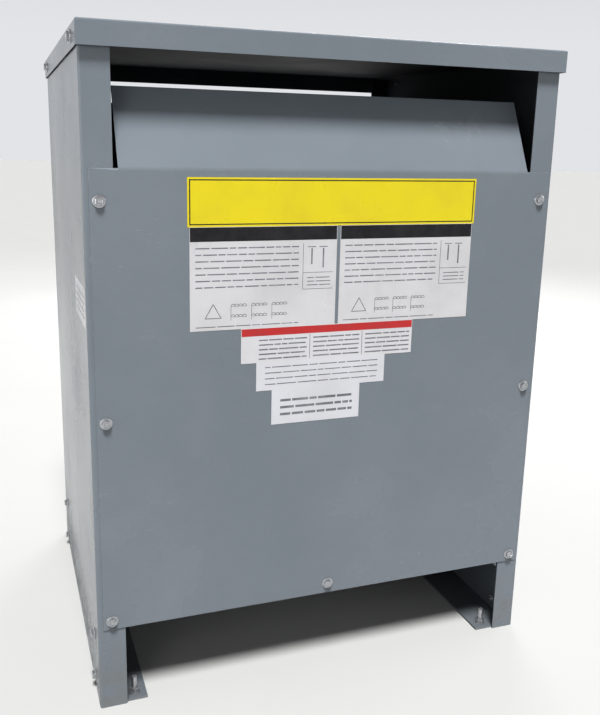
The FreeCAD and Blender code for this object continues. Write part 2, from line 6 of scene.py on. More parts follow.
import bmesh
import bpy
from mathutils import Matrix, Vector
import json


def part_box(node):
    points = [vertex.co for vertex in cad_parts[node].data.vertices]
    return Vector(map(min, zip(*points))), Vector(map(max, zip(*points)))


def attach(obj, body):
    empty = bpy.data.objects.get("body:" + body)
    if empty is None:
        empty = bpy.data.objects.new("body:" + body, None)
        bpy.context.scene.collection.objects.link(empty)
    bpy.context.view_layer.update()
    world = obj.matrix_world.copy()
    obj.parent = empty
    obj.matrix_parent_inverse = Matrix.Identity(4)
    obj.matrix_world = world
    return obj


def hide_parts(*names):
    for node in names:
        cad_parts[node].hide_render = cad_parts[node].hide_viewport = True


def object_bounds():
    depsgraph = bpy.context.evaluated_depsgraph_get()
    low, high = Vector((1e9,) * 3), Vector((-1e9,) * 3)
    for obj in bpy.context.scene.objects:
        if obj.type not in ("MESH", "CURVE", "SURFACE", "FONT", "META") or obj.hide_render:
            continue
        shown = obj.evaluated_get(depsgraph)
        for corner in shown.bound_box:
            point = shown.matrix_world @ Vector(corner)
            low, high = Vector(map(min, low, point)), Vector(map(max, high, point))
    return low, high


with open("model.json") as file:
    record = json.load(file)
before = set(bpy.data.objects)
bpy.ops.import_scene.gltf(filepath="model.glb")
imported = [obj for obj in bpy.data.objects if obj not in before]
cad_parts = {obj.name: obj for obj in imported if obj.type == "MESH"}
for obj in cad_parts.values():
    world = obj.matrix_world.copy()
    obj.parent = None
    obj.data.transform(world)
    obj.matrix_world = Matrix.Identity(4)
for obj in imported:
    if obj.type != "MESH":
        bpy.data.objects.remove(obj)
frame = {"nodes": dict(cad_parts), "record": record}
cad_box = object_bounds()

MM = 0.001
MIDDLE = (cad_box[0] + cad_box[1]) / 2


# ---------------------------------------------------------------- shader helpers

# The mix node's colour sockets share their names with its other kinds, so they go by number.
MIX_COLOUR_A, MIX_COLOUR_B, MIX_COLOUR_RESULT = 6, 7, 2


class Shader:
    """A material's node tree, with short ways to add and join its nodes."""

    def __init__(self, name):
        self.material = bpy.data.materials.new(name)
        self.material.use_nodes = True
        self.tree = self.material.node_tree
        self.surface = self.tree.nodes["Principled BSDF"]

    def node(self, kind, **settings):
        made = self.tree.nodes.new(kind)
        for key, value in settings.items():
            setattr(made, key, value)
        return made

    def feed(self, socket, value):
        """Join an output to a socket, or set the socket's own value."""
        if isinstance(value, bpy.types.NodeSocket):
            self.tree.links.new(value, socket)
        elif isinstance(value, (tuple, list)) and len(value) == 3 and socket.type == "RGBA":
            socket.default_value = (*value, 1.0)
        else:
            socket.default_value = value

    def position(self):
        """Places in the scene in metres, so patterns keep their real scale on every piece."""
        return self.node("ShaderNodeNewGeometry").outputs["Position"]

    def height(self):
        split = self.node("ShaderNodeSeparateXYZ")
        self.feed(split.inputs[0], self.position())
        return split.outputs["Z"]

    def stretched(self, x, y, z):
        """The position with each axis scaled, for streaks and layers."""
        mapping = self.node("ShaderNodeMapping")
        mapping.inputs["Scale"].default_value = (x, y, z)
        self.feed(mapping.inputs["Vector"], self.position())
        return mapping.outputs[0]

    def noise(self, scale, detail=3.0, roughness=0.55, vector=None, distortion=0.0):
        made = self.node("ShaderNodeTexNoise")
        made.inputs["Scale"].default_value = scale
        made.inputs["Detail"].default_value = detail
        made.inputs["Roughness"].default_value = roughness
        made.inputs["Distortion"].default_value = distortion
        self.feed(made.inputs["Vector"], vector or self.position())
        return made.outputs["Fac"]

    def span(self, value, low, high, to_low=0.0, to_high=1.0):
        """Stretch a value from one range to another, held at its ends."""
        made = self.node("ShaderNodeMapRange", interpolation_type="SMOOTHSTEP")
        for socket, amount in zip(made.inputs, (value, low, high, to_low, to_high)):
            self.feed(socket, amount)
        return made.outputs[0]

    def math(self, operation, first, second):
        made = self.node("ShaderNodeMath", operation=operation)
        made.use_clamp = operation in ("MULTIPLY", "ADD")
        self.feed(made.inputs[0], first)
        self.feed(made.inputs[1], second)
        return made.outputs[0]

    def blend(self, share, first, second):
        made = self.node("ShaderNodeMix", data_type="RGBA")
        self.feed(made.inputs["Factor"], share)
        self.feed(made.inputs[MIX_COLOUR_A], first)
        self.feed(made.inputs[MIX_COLOUR_B], second)
        return made.outputs[MIX_COLOUR_RESULT]

    def worn_edge(self, radius):
        """1 on sharp edges, 0 on flats: how far the rounded normal leans from the true one."""
        rounded = self.node("ShaderNodeBevel", samples=4)
        rounded.inputs["Radius"].default_value = radius
        true = self.node("ShaderNodeNewGeometry").outputs["Normal"]
        lean = self.node("ShaderNodeVectorMath", operation="DOT_PRODUCT")
        self.feed(lean.inputs[0], rounded.outputs[0])
        self.feed(lean.inputs[1], true)
        return self.span(lean.outputs["Value"], 0.97, 0.80)

    def facing_up(self, least=0.9):
        """1 on level faces that look up, where dust settles, and 0 below a least slope."""
        split = self.node("ShaderNodeSeparateXYZ")
        self.feed(split.inputs[0], self.node("ShaderNodeNewGeometry").outputs["Normal"])
        return self.span(split.outputs["Z"], least, 1.0)

    def bump(self, height, distance, strength=1.0, normal=None):
        made = self.node("ShaderNodeBump")
        made.inputs["Strength"].default_value = strength
        made.inputs["Distance"].default_value = distance
        self.feed(made.inputs["Height"], height)
        if normal is not None:
            self.feed(made.inputs["Normal"], normal)
        return made.outputs[0]

    def set(self, **sockets):
        """Set the surface's sockets: colour, roughness, metallic, normal and so on."""
        names = {
            "colour": "Base Color",
            "roughness": "Roughness",
            "metallic": "Metallic",
            "normal": "Normal",
            "specular": "Specular IOR Level",
        }
        for key, value in sockets.items():
            self.feed(self.surface.inputs[names[key]], value)
        return self.material


# ---------------------------------------------------------------- finishes

# Linear colours. The paint's last six are for its marks. In the finishes below, a noise is given
# by its scale, detail and roughness, and a span by the ends it reads and the ends it returns.
PAINT_DEEP = (0.096, 0.111, 0.127)
PAINT_PALE = (0.110, 0.126, 0.143)
PAINT_SPECK = (0.20, 0.23, 0.26)
PAINT_SMEAR = (0.185, 0.20, 0.21)
PAINT_GRIME = (0.105, 0.102, 0.094)
PAINT_DUST = (0.215, 0.21, 0.20)
PAINT_RUB = (0.165, 0.18, 0.195)
PAINT_WORN = (0.34, 0.36, 0.38)
# The faces inside the enclosure: painted shade, nearly black and lighter at the feet, and the dust
# that settles on it.
INSIDE_SHADE_DEEP = (0.015, 0.017, 0.020)
INSIDE_SHADE_PALE = (0.028, 0.031, 0.036)
INSIDE_SHADE_AT_FEET = (0.060, 0.069, 0.078)
INSIDE_DUST = (0.12, 0.115, 0.105)
ZINC_PALE = (0.52, 0.53, 0.55)
ZINC_GREY = (0.40, 0.41, 0.43)
ZINC_DULL = (0.26, 0.26, 0.255)
PRIMER_DEEP = (0.030, 0.032, 0.035)
PRIMER_PALE = (0.055, 0.056, 0.058)
PRIMER_DUST = (0.20, 0.19, 0.17)
RUBBER_DEEP = (0.012, 0.012, 0.012)
RUBBER_PALE = (0.035, 0.034, 0.033)
STEEL_DEEP = (0.045, 0.045, 0.05)
STEEL_PALE = (0.13, 0.125, 0.12)
STEEL_RUST = (0.14, 0.075, 0.04)
VARNISH_DEEP = (0.115, 0.05, 0.018)
VARNISH_PALE = (0.22, 0.11, 0.045)
VARNISH_GROOVE = (0.05, 0.022, 0.01)
BOARD_DEEP = (0.40, 0.27, 0.14)
BOARD_PALE = (0.56, 0.42, 0.25)

EDGE_WEAR_REACH = 1.2 * MM
# Heights over the floor in metres: where grime ends, and where the painted shade inside starts to
# lighten towards the feet and is at its lightest.
GRIME_TOP = 0.17
SHADE_LIFT_AT_FEET = (0.24, 0.14)


def grey_enamel():
    """Baked grey enamel: light orange peel, wavy sheet, dust and grime, rubbed edges."""
    s = Shader("grey_enamel")
    cloud = s.noise(2.2, 4.0, 0.6)
    paint = s.blend(s.span(cloud, 0.3, 0.7), PAINT_DEEP, PAINT_PALE)
    speck = s.span(s.noise(900.0, 2.0), 0.40, 0.62, 0.0, 0.08)
    paint = s.blend(speck, paint, PAINT_SPECK)
    smear = s.span(s.noise(5.0, 4.0, 0.6, distortion=0.3), 0.50, 0.82, 0.0, 0.12)
    paint = s.blend(smear, paint, PAINT_SMEAR)
    low = s.span(s.height(), GRIME_TOP, 0.0)
    grime = s.math("MULTIPLY", low, s.span(s.noise(38.0, 6.0, 0.7), 0.32, 0.66))
    paint = s.blend(s.math("MULTIPLY", grime, 0.6), paint, PAINT_GRIME)
    settled = s.span(s.noise(16.0, 7.0, 0.7), 0.36, 0.64, 0.15)
    dust = s.math("MULTIPLY", s.facing_up(), settled)
    paint = s.blend(s.math("MULTIPLY", dust, 0.5), paint, PAINT_DUST)
    rub = s.span(s.noise(1.0, 4.0, 0.6, s.stretched(7.0, 7.0, 24.0)), 0.56, 0.84, 0.0, 0.10)
    paint = s.blend(rub, paint, PAINT_RUB)
    chipped = s.span(s.noise(60.0, 5.0, 0.7), 0.50, 0.66)
    edge = s.math("MULTIPLY", s.worn_edge(EDGE_WEAR_REACH), chipped)
    paint = s.blend(s.math("MULTIPLY", edge, 0.8), paint, PAINT_WORN)
    rough = s.span(cloud, 0.25, 0.75, 0.20, 0.28)
    for mark, dulling in ((smear, 0.6), (rub, 0.5), (grime, 0.35), (dust, 0.45)):
        rough = s.math("ADD", rough, s.math("MULTIPLY", mark, dulling))
    wave = s.bump(s.noise(3.4, 1.0, 0.4), 1.6 * MM, 0.5)
    peel = s.bump(s.noise(420.0, 2.0), 0.10 * MM, 0.30, wave)
    return s.set(colour=paint, roughness=rough, normal=peel, specular=0.32)


def shaded_inside():
    """Painted shade inside the enclosure: matt and dusty, painted nearly black, and painted
    lighter towards the feet.
    """
    s = Shader("shaded_inside")
    cloud = s.noise(6.0, 5.0, 0.65)
    # Painted shade: the inner faces are painted nearly black for the shade inside the enclosure.
    inside_shade = s.blend(s.span(cloud, 0.3, 0.7), INSIDE_SHADE_DEEP, INSIDE_SHADE_PALE)
    # Painted light: the painted shade is lighter towards the feet, for the light that reaches them
    # under the enclosure.
    inside_shade = s.blend(s.span(s.height(), *SHADE_LIFT_AT_FEET), inside_shade, INSIDE_SHADE_AT_FEET)
    dust = s.math("MULTIPLY", s.facing_up(), s.span(cloud, 0.4, 0.6))
    inside_shade = s.blend(s.math("MULTIPLY", dust, 0.15), inside_shade, INSIDE_DUST)
    rough = s.span(cloud, 0.3, 0.7, 0.78, 0.92)
    grain = s.bump(s.noise(420.0), 0.2 * MM, 0.4)
    return s.set(colour=inside_shade, roughness=rough, normal=grain, specular=0.12)


def zinc_plate():
    """Bright zinc: pale grey crystals, fine grain, dull spots."""
    s = Shader("zinc_plate")
    cell = s.node("ShaderNodeTexVoronoi", feature="F1")
    cell.inputs["Scale"].default_value = 650.0
    s.feed(cell.inputs["Vector"], s.position())
    tone = s.span(cell.outputs["Distance"], 0.1, 0.8)
    colour = s.blend(tone, ZINC_PALE, ZINC_GREY)
    dull = s.span(s.noise(180.0, 4.0, 0.7), 0.50, 0.68)
    colour = s.blend(s.math("MULTIPLY", dull, 0.6), colour, ZINC_DULL)
    rough = s.span(s.noise(320.0), 0.3, 0.7, 0.20, 0.42)
    grain = s.bump(s.noise(1400.0, 2.0), 0.08 * MM, 0.5)
    return s.set(colour=colour, roughness=rough, metallic=0.9, normal=grain)


def dull_primer():
    """Dark primer on the core's frame, with settled dust on upward faces."""
    s = Shader("dull_primer")
    cloud = s.noise(9.0, 5.0, 0.65)
    colour = s.blend(s.span(cloud, 0.3, 0.7), PRIMER_DEEP, PRIMER_PALE)
    settled = s.math("MULTIPLY", s.facing_up(0.5), s.span(cloud, 0.35, 0.65))
    colour = s.blend(s.math("MULTIPLY", settled, 0.4), colour, PRIMER_DUST)
    rough = s.span(cloud, 0.3, 0.7, 0.55, 0.75)
    return s.set(colour=colour, roughness=rough, normal=s.bump(s.noise(500.0), 0.2 * MM, 0.5))


def pad_rubber():
    s = Shader("pad_rubber")
    cloud = s.noise(60.0, 4.0)
    colour = s.blend(cloud, RUBBER_DEEP, RUBBER_PALE)
    rough = s.span(cloud, 0.3, 0.7, 0.7, 0.9)
    return s.set(colour=colour, roughness=rough, normal=s.bump(s.noise(900.0), 0.3 * MM, 0.6))


def laminated_steel():
    """Stacked core sheets: fine lines across the stack, under thin varnish."""
    s = Shader("laminated_steel")
    layers = s.noise(1.0, 2.0, 0.5, s.stretched(2.0, 900.0, 2.0))
    colour = s.blend(s.span(layers, 0.35, 0.65), STEEL_DEEP, STEEL_PALE)
    rust = s.span(s.noise(14.0, 6.0, 0.7), 0.56, 0.74)
    colour = s.blend(s.math("MULTIPLY", rust, 0.5), colour, STEEL_RUST)
    rough = s.span(layers, 0.3, 0.7, 0.38, 0.58)
    sheets = s.bump(layers, 0.4 * MM, 0.8)
    return s.set(colour=colour, roughness=rough, metallic=0.45, normal=sheets)


def varnished_winding():
    """Wound insulation: level wraps, dark varnish that pooled unevenly."""
    s = Shader("varnished_winding")
    wraps = s.node("ShaderNodeTexWave", bands_direction="Z", wave_profile="SAW")
    wraps.inputs["Scale"].default_value = 26.0
    wraps.inputs["Distortion"].default_value = 0.6
    s.feed(wraps.inputs["Vector"], s.position())
    pooled = s.noise(11.0, 5.0, 0.65)
    colour = s.blend(s.span(pooled, 0.3, 0.7), VARNISH_DEEP, VARNISH_PALE)
    groove = s.math("MULTIPLY", wraps.outputs["Fac"], 0.3)
    colour = s.blend(groove, colour, VARNISH_GROOVE)
    rough = s.span(pooled, 0.3, 0.7, 0.25, 0.5)
    ridges = s.bump(wraps.outputs["Fac"], 0.8 * MM, 0.7)
    return s.set(colour=colour, roughness=rough, normal=ridges)


def insulating_board():
    s = Shader("insulating_board")
    fibre = s.noise(1.0, 4.0, 0.6, s.stretched(60.0, 60.0, 900.0))
    colour = s.blend(s.span(fibre, 0.3, 0.7), BOARD_DEEP, BOARD_PALE)
    rough = s.span(fibre, 0.3, 0.7, 0.55, 0.75)
    return s.set(colour=colour, roughness=rough, normal=s.bump(fibre, 0.3 * MM, 0.6))


def printed_film(name, base, aged):
    """Glossy film with faint ripples, aged patches and a few flecks."""
    s = Shader(name)
    cloud = s.noise(9.0, 4.0, 0.6)
    colour = s.blend(s.span(cloud, 0.38, 0.72, 0.0, 0.8), base, aged)
    fleck = s.span(s.noise(240.0, 5.0, 0.75), 0.64, 0.74, 0.0, 0.35)
    colour = s.blend(fleck, colour, tuple(0.6 * part for part in aged))
    rough = s.span(s.noise(16.0, 3.0), 0.3, 0.7, 0.26, 0.40)
    ripple = s.bump(s.noise(22.0, 2.0), 0.6 * MM, 0.35)
    return s.set(colour=colour, roughness=rough, normal=ripple, specular=0.3)


def print_ink(name, colour, faded):
    """Ink on the film: a little uneven, slightly duller than the film."""
    s = Shader(name)
    tone = s.blend(s.span(s.noise(55.0, 4.0), 0.35, 0.75), colour, faded)
    rough = s.span(s.noise(30.0, 3.0), 0.3, 0.7, 0.42, 0.56)
    grain = s.bump(s.noise(700.0), 0.05 * MM, 0.3)
    return s.set(colour=tone, roughness=rough, normal=grain, specular=0.2)


FINISHES = {
    "enclosure_paint": grey_enamel(),
    "zinc": zinc_plate(),
    "frame_paint": dull_primer(),
    "pad_rubber": pad_rubber(),
    "core_steel": laminated_steel(),
    "winding": varnished_winding(),
    "insulation": insulating_board(),
    "yellow_plate": printed_film("yellow_film", (0.47, 0.385, 0.004), (0.42, 0.335, 0.008)),
    "white_plate": printed_film("plate_film", (0.39, 0.385, 0.395), (0.335, 0.33, 0.335)),
    "strip_plate": printed_film("strip_film", (0.41, 0.405, 0.42), (0.36, 0.355, 0.36)),
    "white_sticker": printed_film("sticker_film", (0.41, 0.41, 0.435), (0.36, 0.36, 0.375)),
}
SHADED_INSIDE = shaded_inside()
BLACK_INK = print_ink("black_ink", (0.006, 0.006, 0.007), (0.012, 0.012, 0.014))
GREY_INK = print_ink("grey_ink", (0.085, 0.088, 0.10), (0.15, 0.155, 0.17))
RED_INK = print_ink("red_ink", (0.31, 0.018, 0.018), (0.26, 0.022, 0.022))

for row in frame["record"]["subparts"]:
    mesh = frame["nodes"][row["node"]].data
    mesh.materials.clear()
    mesh.materials.append(FINISHES[row["material_slot"]])


# ---------------------------------------------------------------- meshes


def finish_piece(name, shape, materials, replaced=None):
    """Make a piece of a bmesh that stays where it is in the frame."""
    mesh = bpy.data.meshes.new(name)
    bmesh.ops.recalc_face_normals(shape, faces=shape.faces)
    shape.to_mesh(mesh)
    shape.free()
    for material in materials:
        mesh.materials.append(material)
    piece = bpy.data.objects.new(name, mesh)
    bpy.context.collection.objects.link(piece)
    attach(piece, "root")
    if replaced:
        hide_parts(replaced)
    return piece


SAME_PLACE = 1e-6
FLAT = math.radians(0.4)
SHORTEST_EDGE = 8 * MM
SHARP = math.radians(30)
CREASE = math.radians(40)
EDGE_BREAK = 0.5 * MM
COVER_BEND = (math.radians(23), math.radians(28))
BEND_RADIUS = 3 * MM
SLIVER = 0.01 * MM
LEAST_INWARD_LEAN = 0.1


def edge_angle(edge):
    """How far the two faces turn at an edge, or 0 where there aren't two."""
    return edge.calc_face_angle(0.0)


def welded(node):
    """A CAD node's mesh with its corners joined, in a bmesh of its own."""
    shape = bmesh.new()
    shape.from_mesh(frame["nodes"][node].data)
    bmesh.ops.remove_doubles(shape, verts=shape.verts, dist=SAME_PLACE)
    return shape


def looks_inward(face):
    """Whether a face looks into the enclosure."""
    inward = (MIDDLE - face.calc_center_median()).normalized()
    return face.normal.dot(inward) > LEAST_INWARD_LEAN


def sheet_piece(node):
    """A folded sheet part with broken edges and, on a cover, a rounded outer bend."""
    shape = welded(node)
    bmesh.ops.dissolve_limit(shape, angle_limit=FLAT, verts=shape.verts, edges=shape.edges)
    bends = [
        edge for edge in shape.edges
        if edge.calc_length() > SHORTEST_EDGE
        and COVER_BEND[0] < edge_angle(edge) < COVER_BEND[1]
        and edge.is_convex
    ]
    if bends:
        bmesh.ops.bevel(
            shape, geom=bends, offset=BEND_RADIUS, segments=4, profile=0.5, affect="EDGES",
            clamp_overlap=True,
        )
    sharp = [
        edge for edge in shape.edges
        if edge.calc_length() > SHORTEST_EDGE and edge_angle(edge) > SHARP
    ]
    bmesh.ops.bevel(
        shape, geom=sharp, offset=EDGE_BREAK, segments=2, profile=0.6, affect="EDGES",
        clamp_overlap=False,
    )
    bmesh.ops.dissolve_degenerate(shape, dist=SLIVER, edges=shape.edges)
    shape.normal_update()
    for edge in shape.edges:
        edge.smooth = edge_angle(edge) < CREASE
    for face in shape.faces:
        face.smooth = True
        # Faces that look into the enclosure take the second material, SHADED_INSIDE, which is
        # painted shade.
        face.material_index = int(looks_inward(face))
    piece = finish_piece(
        node + "_sheet", shape, [FINISHES["enclosure_paint"], SHADED_INSIDE],
        node,
    )
    level = piece.modifiers.new("level_faces", "WEIGHTED_NORMAL")
    level.mode = "FACE_AREA"
    level.weight = 100
    level.keep_sharp = True


def skinned(shape, rings, along, sides, turn=0.0, smooth=True):
    """A closed skin over rings, which are (distance along the axis, radius) pairs."""
    across = along.orthogonal().normalized()
    other = along.cross(across)
    angles = [turn + 2 * math.pi * step / sides for step in range(sides)]
    rays = [across * math.cos(angle) + other * math.sin(angle) for angle in angles]
    loops = [
        [shape.verts.new(along * distance + ray * radius) for ray in rays]
        for distance, radius in rings
    ]
    for first, second in zip(loops, loops[1:]):
        for step in range(sides):
            after = (step + 1) % sides
            face = shape.faces.new((first[step], first[after], second[after], second[step]))
            face.smooth = smooth
    shape.faces.new(loops[0])
    shape.faces.new(loops[-1])
    return [vert for loop in loops for vert in loop]


def hexagon(shape, flats, low, high, along, turn, chamfer, dimple=0.0):
    """A hexagon prism with a chamfered crown and, on a screw head, a dished top."""
    profile = [(low, 1.0), (high - chamfer, 1.0), (high, 0.86)]
    if dimple:
        profile += [(high, 0.66), (high - dimple, 0.50), (high - dimple * 1.2, 0.20)]
    corner = flats / math.sqrt(3)
    rings = [(distance, corner * share) for distance, share in profile]
    return skinned(shape, rings, along, 6, turn, smooth=False)


THREAD_DEPTH_IN_PITCHES = 0.3


def thread(start, end, radius, pitch):
    """A plain zigzag profile of thread crests and roots between two distances."""
    turns = max(1, round(abs(end - start) / pitch))
    step = (end - start) / turns
    root = radius - THREAD_DEPTH_IN_PITCHES * pitch
    rings = [(start, root)]
    for number in range(turns):
        rings.append((start + step * (number + 0.5), radius))
        rings.append((start + step * (number + 1), root))
    return rings


ROUND_SIDES = 28
HEAD_FLANGE = 10.2 * MM
HEAD_FLANGE_THICKNESS = 1.7 * MM
HEAD_HEIGHT = 5.0 * MM
HEAD_FLATS = 12.7 * MM
HEAD_CHAMFER = 0.9 * MM
HEAD_DIMPLE = 1.1 * MM
SCREW_RADIUS = 3.1 * MM
SCREW_PITCH = 1.4 * MM
SCREW_SIDES = 16
SCREW_NECK = 0.3 * MM
FOOT_NUT_DEPTH = 6.5 * MM

# The head's flange, from the sheet outwards, in shares of its thickness and radius.
FLANGE_PROFILE = ((0.0, 0.97), (0.25, 1.0), (0.65, 0.98), (0.95, 0.88), (1.25, 0.70))


def washer_head(shape, seat, outward, tail, turn):
    """A hexagon washer-head screw; seat is where its flange meets the sheet."""
    flange = [
        (rise * HEAD_FLANGE_THICKNESS, reach * HEAD_FLANGE) for rise, reach in FLANGE_PROFILE
    ]
    made = skinned(shape, flange, outward, ROUND_SIDES)
    top = HEAD_FLANGE_THICKNESS + HEAD_HEIGHT
    made += hexagon(
        shape, HEAD_FLATS, HEAD_FLANGE_THICKNESS, top, outward, turn, HEAD_CHAMFER, HEAD_DIMPLE
    )
    shank = thread(-SCREW_NECK, -tail, SCREW_RADIUS, SCREW_PITCH)
    made += skinned(shape, shank, outward, SCREW_SIDES)
    bmesh.ops.translate(shape, vec=seat, verts=made)


def islands(node):
    """The box of each separate solid of a CAD node."""
    shape = welded(node)
    left = set(shape.verts)
    boxes = []
    while left:
        queue = [left.pop()]
        corners = []
        while queue:
            vert = queue.pop()
            corners.append(vert.co.copy())
            for edge in vert.link_edges:
                other = edge.other_vert(vert)
                if other in left:
                    left.remove(other)
                    queue.append(other)
        low = Vector(min(corner[axis] for corner in corners) for axis in range(3))
        high = Vector(max(corner[axis] for corner in corners) for axis in range(3))
        boxes.append((low, high))
    shape.free()
    return sorted(boxes, key=lambda box: tuple(box[0]))


def head_seat(low, high, outward):
    """Where a screw's flange meets its sheet, and how long its tail is."""
    axis = max(range(3), key=lambda index: abs(outward[index]))
    seat = (low + high) / 2
    tip = high[axis] if outward[axis] > 0 else low[axis]
    seat[axis] = tip - outward[axis] * (HEAD_FLANGE_THICKNESS + HEAD_HEIGHT)
    tail = (high[axis] - low[axis]) - HEAD_FLANGE_THICKNESS - HEAD_HEIGHT
    return seat, tail


def screws_piece(node, outward_of, nut_depth=None):
    """Every screw of a node as one mesh, each turned to its own angle."""
    shape = bmesh.new()
    chance = random.Random(node)
    for low, high in islands(node):
        outward = outward_of((low + high) / 2)
        seat, tail = head_seat(low, high, outward)
        washer_head(shape, seat, outward, tail, chance.uniform(0, math.pi / 3))
        if nut_depth is not None:
            made = hexagon(
                shape, HEAD_FLATS, nut_depth, nut_depth + HEAD_HEIGHT, -outward,
                chance.uniform(0, math.pi / 3), HEAD_CHAMFER,
            )
            bmesh.ops.translate(shape, vec=seat, verts=made)
    finish_piece(node + "_detailed", shape, [FINISHES["zinc"]], node)


FOOT_THICKNESS = 4.0 * MM
WASHER_RADIUS = 10.0 * MM
WASHER_RIM = 9.4 * MM
WASHER_THICKNESS = 1.6 * MM
WASHER_ROUNDING = 0.3 * MM
NUT_FLATS = 14.3 * MM
NUT_HEIGHT = 8.3 * MM
NUT_CHAMFER = 1.0 * MM
STUD_RADIUS = 4.75 * MM
STUD_PITCH = 1.6 * MM
STUD_THREAD_IN_NUT = 0.5 * MM
STUD_TIP_RADIUS = 3.6 * MM
STUD_TIP_HEIGHT = 0.8 * MM
STUD_SHANK_RADIUS = 5.0 * MM
STUD_SIDES = 20


def studs_piece():
    """Threaded hold-down studs with their washers and nuts."""
    up = Vector((0, 0, 1))
    foot_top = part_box("left_foot_angle")[0].z + FOOT_THICKNESS
    washer_top = foot_top + WASHER_THICKNESS
    nut_top = washer_top + NUT_HEIGHT
    washer = [
        (foot_top, WASHER_RIM),
        (foot_top + WASHER_ROUNDING, WASHER_RADIUS),
        (washer_top - WASHER_ROUNDING, WASHER_RADIUS),
        (washer_top, WASHER_RIM),
    ]
    shape = bmesh.new()
    chance = random.Random(5)
    for low, high in islands("foot_studs"):
        middle = (low + high) / 2
        made = skinned(shape, washer, up, ROUND_SIDES)
        made += hexagon(
            shape, NUT_FLATS, washer_top, nut_top, up, chance.uniform(0, 1), NUT_CHAMFER
        )
        threaded = thread(
            nut_top - STUD_THREAD_IN_NUT, high.z - STUD_TIP_HEIGHT, STUD_RADIUS, STUD_PITCH
        )
        made += skinned(shape, threaded + [(high.z, STUD_TIP_RADIUS)], up, STUD_SIDES)
        shank = [(low.z, STUD_SHANK_RADIUS), (foot_top, STUD_SHANK_RADIUS)]
        made += skinned(shape, shank, up, STUD_SIDES)
        bmesh.ops.translate(shape, vec=Vector((middle.x, middle.y, 0)), verts=made)
    finish_piece("foot_studs_detailed", shape, [FINISHES["zinc"]], "foot_studs")


SHEET_NODES = (
    "lid", "front_cover", "back_cover", "left_side_panel", "right_side_panel",
    "left_foot_angle", "right_foot_angle", "front_sill", "back_sill",
)
for node in SHEET_NODES:
    sheet_piece(node)

FORWARD = Vector((0, -1, 0))
LEFTWARD = Vector((-1, 0, 0))
screws_piece("front_cover_screws", lambda place: FORWARD)
screws_piece("back_cover_screws", lambda place: -FORWARD)
screws_piece("lid_screws", lambda place: LEFTWARD if place.x < 0 else -LEFTWARD)
screws_piece("left_foot_bolts", lambda place: LEFTWARD, FOOT_NUT_DEPTH)
screws_piece("right_foot_bolts", lambda place: -LEFTWARD, FOOT_NUT_DEPTH)
studs_piece()


# ---------------------------------------------------------------- prints

INK_THICKNESS = 0.06 * MM
BLACK, GREY, RED = range(3)

# Sizes on the plates are in millimetres.
RULE_LENGTHS = (9, 34)
RULE_GAP = 2.6
RULE_LEAST_END = 4


class Print:
    """Marks on a flat plate, placed in millimetres right and down from its top left corner."""

    def __init__(self, node, outward):
        self.node = node
        self.shape = bmesh.new()
        low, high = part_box(node)
        self.outward = outward
        self.down = Vector((0, 0, -1))
        self.right = outward.cross(self.down)
        middle = (low + high) / 2
        reach = (high - low) / 2
        outer = middle + Vector(part * size for part, size in zip(outward, reach))
        self.width = abs(self.right.dot(high - low)) / MM
        self.height = (high.z - low.z) / MM
        self.corner = outer - self.right * (self.width / 2 * MM)
        self.corner.z = high.z

    def place(self, x, y):
        return self.corner + (self.right * x + self.down * y) * MM

    def prism(self, corners, ink):
        """A closed sliver of ink over an outline."""
        lift = self.outward * INK_THICKNESS
        under = [self.shape.verts.new(self.place(x, y)) for x, y in corners]
        over = [self.shape.verts.new(self.place(x, y) + lift) for x, y in corners]
        faces = [self.shape.faces.new(under), self.shape.faces.new(over)]
        for step, _ in enumerate(corners):
            after = (step + 1) % len(corners)
            faces.append(
                self.shape.faces.new((under[step], under[after], over[after], over[step]))
            )
        for face in faces:
            face.material_index = ink

    def bar(self, x, y, width, height, ink):
        self.prism([(x, y), (x + width, y), (x + width, y + height), (x, y + height)], ink)

    def stroke(self, start, end, width, ink):
        start, end = Vector(start), Vector(end)
        run = end - start
        side = Vector((-run.y, run.x)).normalized() * width / 2
        self.prism([start + side, end + side, end - side, start - side], ink)

    def frame(self, x, y, width, height, line, ink):
        self.bar(x, y, width, line, ink)
        self.bar(x, y + height - line, width, line, ink)
        self.bar(x, y + line, line, height - 2 * line, ink)
        self.bar(x + width - line, y + line, line, height - 2 * line, ink)

    def rule(self, x, y, width, line, ink, chance, gap=RULE_GAP):
        """One blank ruled line, broken into fields of uneven length."""
        place = x
        while place < x + width - RULE_LEAST_END:
            length = min(chance.uniform(*RULE_LENGTHS), x + width - place)
            self.bar(place, y, length, line, ink)
            place += length + gap

    def finish(self):
        """Make the piece, with its inks in the order of BLACK, GREY and RED."""
        finish_piece(self.node + "_print", self.shape, [BLACK_INK, GREY_INK, RED_INK])


KEY_LINE_INSET = 3.0
KEY_LINE = 1.8


def title_print():
    """A plain key line round an empty plate."""
    plate = Print("title_plate", FORWARD)
    wide = plate.width - 2 * KEY_LINE_INSET
    tall = plate.height - 2 * KEY_LINE_INSET
    plate.frame(KEY_LINE_INSET, KEY_LINE_INSET, wide, tall, KEY_LINE, BLACK)
    plate.finish()


HUMPS = 4
HUMP_RADIUS = 3.2
HUMP_STEPS = 6
HUMP_LINE = 0.7
WINDING_LINE = 0.8
WINDING_FEET = 27


def winding_symbol(plate, x, y):
    """A row of half-round humps on a line, the plain sign for a winding."""
    turns = [math.pi * step / HUMP_STEPS for step in range(HUMP_STEPS + 1)]
    for hump in range(HUMPS):
        middle = x + HUMP_RADIUS * (2 * hump + 1)
        points = [
            (middle - HUMP_RADIUS * math.cos(turn), y - HUMP_RADIUS * math.sin(turn))
            for turn in turns
        ]
        for start, end in zip(points, points[1:]):
            plate.stroke(start, end, HUMP_LINE, BLACK)
    plate.bar(x, y, 2 * HUMPS * HUMP_RADIUS, WINDING_LINE, GREY)


